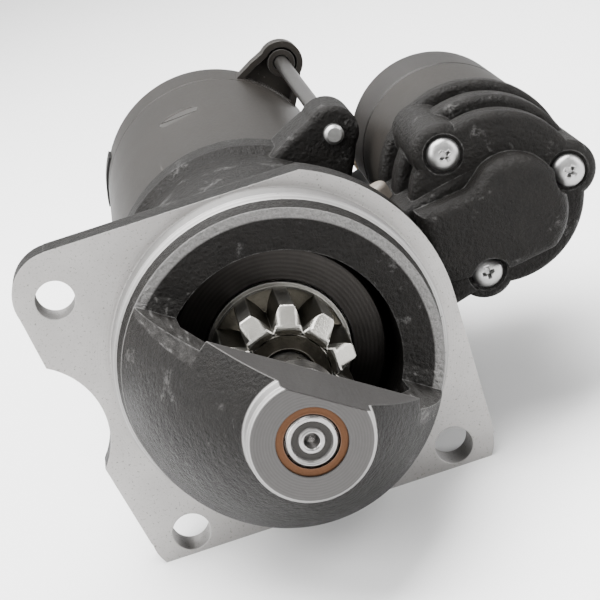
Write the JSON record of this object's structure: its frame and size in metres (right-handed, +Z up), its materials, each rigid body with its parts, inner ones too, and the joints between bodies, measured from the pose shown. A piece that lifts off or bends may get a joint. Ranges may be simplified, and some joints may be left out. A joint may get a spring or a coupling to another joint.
{
  "type": "starter motor",
  "caption": "Engine starter motor: cast flange and closed nose with a ring-gear window, steel motor body and a solenoid on top that pushes the pinion forward.",
  "frame": {"origin": "centre of the flange's mounting face, on the motor axis", "axes": "-Y along the motor axis towards the nose, +Y towards the rear cap, +Z up with the two lower flange holes level, +X towards the solenoid"},
  "size_m": [0.1601, 0.3081, 0.0981],
  "materials": {
    "armature_core": "satin",
    "armature_shaft": "satin",
    "armature_windings": "satin",
    "brush_holder": "zinc plated",
    "brush_springs": "satin",
    "brushes": "matte",
    "centre_bush": "satin",
    "centre_plate": "satin",
    "clutch_body": "satin",
    "clutch_cover": "satin",
    "clutch_rollers": "polished",
    "commutator": "satin",
    "contact_disc": "satin",
    "contact_rod": "satin",
    "drive_housing": "satin",
    "dust_cap": "satin",
    "field_coils": "satin",
    "inspection_plug": "matte",
    "lead_grommet": "matte",
    "lever_pivot_pin": "satin",
    "lever_seal": "matte",
    "meshing_spring": "satin",
    "motor_lead": "satin",
    "nose_bush": "satin",
    "pinion": "satin",
    "pivot_plug": "satin",
    "plunger": "satin",
    "plunger_pin": "satin",
    "plunger_spring": "satin",
    "pole_screws": "satin",
    "pole_shoes": "satin",
    "rear_bush": "satin",
    "rear_cap": "satin",
    "roller_springs": "satin",
    "shift_collar": "satin",
    "shift_lever": "satin",
    "sleeve_snap_ring": "satin",
    "solenoid_bobbin": "matte",
    "solenoid_cap": "satin",
    "solenoid_case": "satin",
    "solenoid_core": "satin",
    "solenoid_screws": "zinc plated",
    "solenoid_winding": "gloss",
    "start_blade": "satin",
    "stop_collar": "satin",
    "stop_snap_ring": "satin",
    "terminal_nuts": "zinc plated",
    "terminal_studs": "satin",
    "through_bolts": "satin",
    "thrust_washer": "satin",
    "yoke": "satin"
  },
  "bodies": {
    "housing": {"drive_housing": "drive_housing", "nose_bush": "nose_bush", "lever_pivot_pin": "lever_pivot_pin", "pivot_plug": "pivot_plug", "lever_seal": "lever_seal", "centre_plate": "centre_plate", "centre_bush": "centre_bush", "solenoid_case": "solenoid_case", "solenoid_screws": "solenoid_screws", "solenoid_bobbin": "solenoid_bobbin", "solenoid_winding": "solenoid_winding", "solenoid_core": "solenoid_core", "plunger_spring": "plunger_spring", "solenoid_cap": "solenoid_cap", "terminal_studs": "terminal_studs", "terminal_nuts": "terminal_nuts", "start_blade": "start_blade", "yoke": "yoke", "pole_shoes": "pole_shoes", "pole_screws": "pole_screws", "field_coils": "field_coils", "brush_holder": "brush_holder", "brushes": "brushes", "brush_springs": "brush_springs", "motor_lead": "motor_lead", "lead_grommet": "lead_grommet", "rear_cap": "rear_cap", "inspection_plug": "inspection_plug", "rear_bush": "rear_bush", "dust_cap": "dust_cap", "through_bolts": "through_bolts"},
    "armature": {"armature_shaft": "armature_shaft", "stop_collar": "stop_collar", "stop_snap_ring": "stop_snap_ring", "armature_core": "armature_core", "armature_windings": "armature_windings", "commutator": "commutator", "thrust_washer": "thrust_washer"},
    "drive": {"clutch_cover": "clutch_cover", "clutch_body": "clutch_body", "clutch_rollers": "clutch_rollers", "roller_springs": "roller_springs", "shift_collar": "shift_collar", "sleeve_snap_ring": "sleeve_snap_ring", "meshing_spring": "meshing_spring"},
    "pinion": {"pinion": "pinion"},
    "lever": {"shift_lever": "shift_lever"},
    "plunger": {"plunger": "plunger", "plunger_pin": "plunger_pin", "contact_rod": "contact_rod", "contact_disc": "contact_disc"}
  },
  "joints": [
    {"name": "armature_spin", "type": "hinge", "parent": "housing", "child": "armature", "pos_m": [0, 0, 0], "axis": [0, 1, 0], "continuous": true},
    {"name": "drive_slide", "type": "slide", "parent": "armature", "child": "drive", "axis": [0, -1, 0], "range_m": [0, 0.017]},
    {"name": "pinion_spin", "type": "hinge", "parent": "drive", "child": "pinion", "pos_m": [0, 0, 0], "axis": [0, 1, 0], "continuous": true},
    {"name": "lever_pivot", "type": "hinge", "parent": "housing", "child": "lever", "pos_m": [0.04219, 0.03, 0.01061], "axis": [-0.2438, 0, 0.9698], "range_deg": [0, 21.5]},
    {"name": "plunger_slide", "type": "slide", "parent": "housing", "child": "plunger", "axis": [0, 1, 0], "range_m": [0, 0.0109], "deforming": ["plunger_spring"]}
  ],
  "couplings": [
    {"joint": "lever_pivot", "follows": "drive_slide", "rad_per_m": 21.915},
    {"joint": "plunger_slide", "follows": "drive_slide", "ratio": 0.6371}
  ]
}
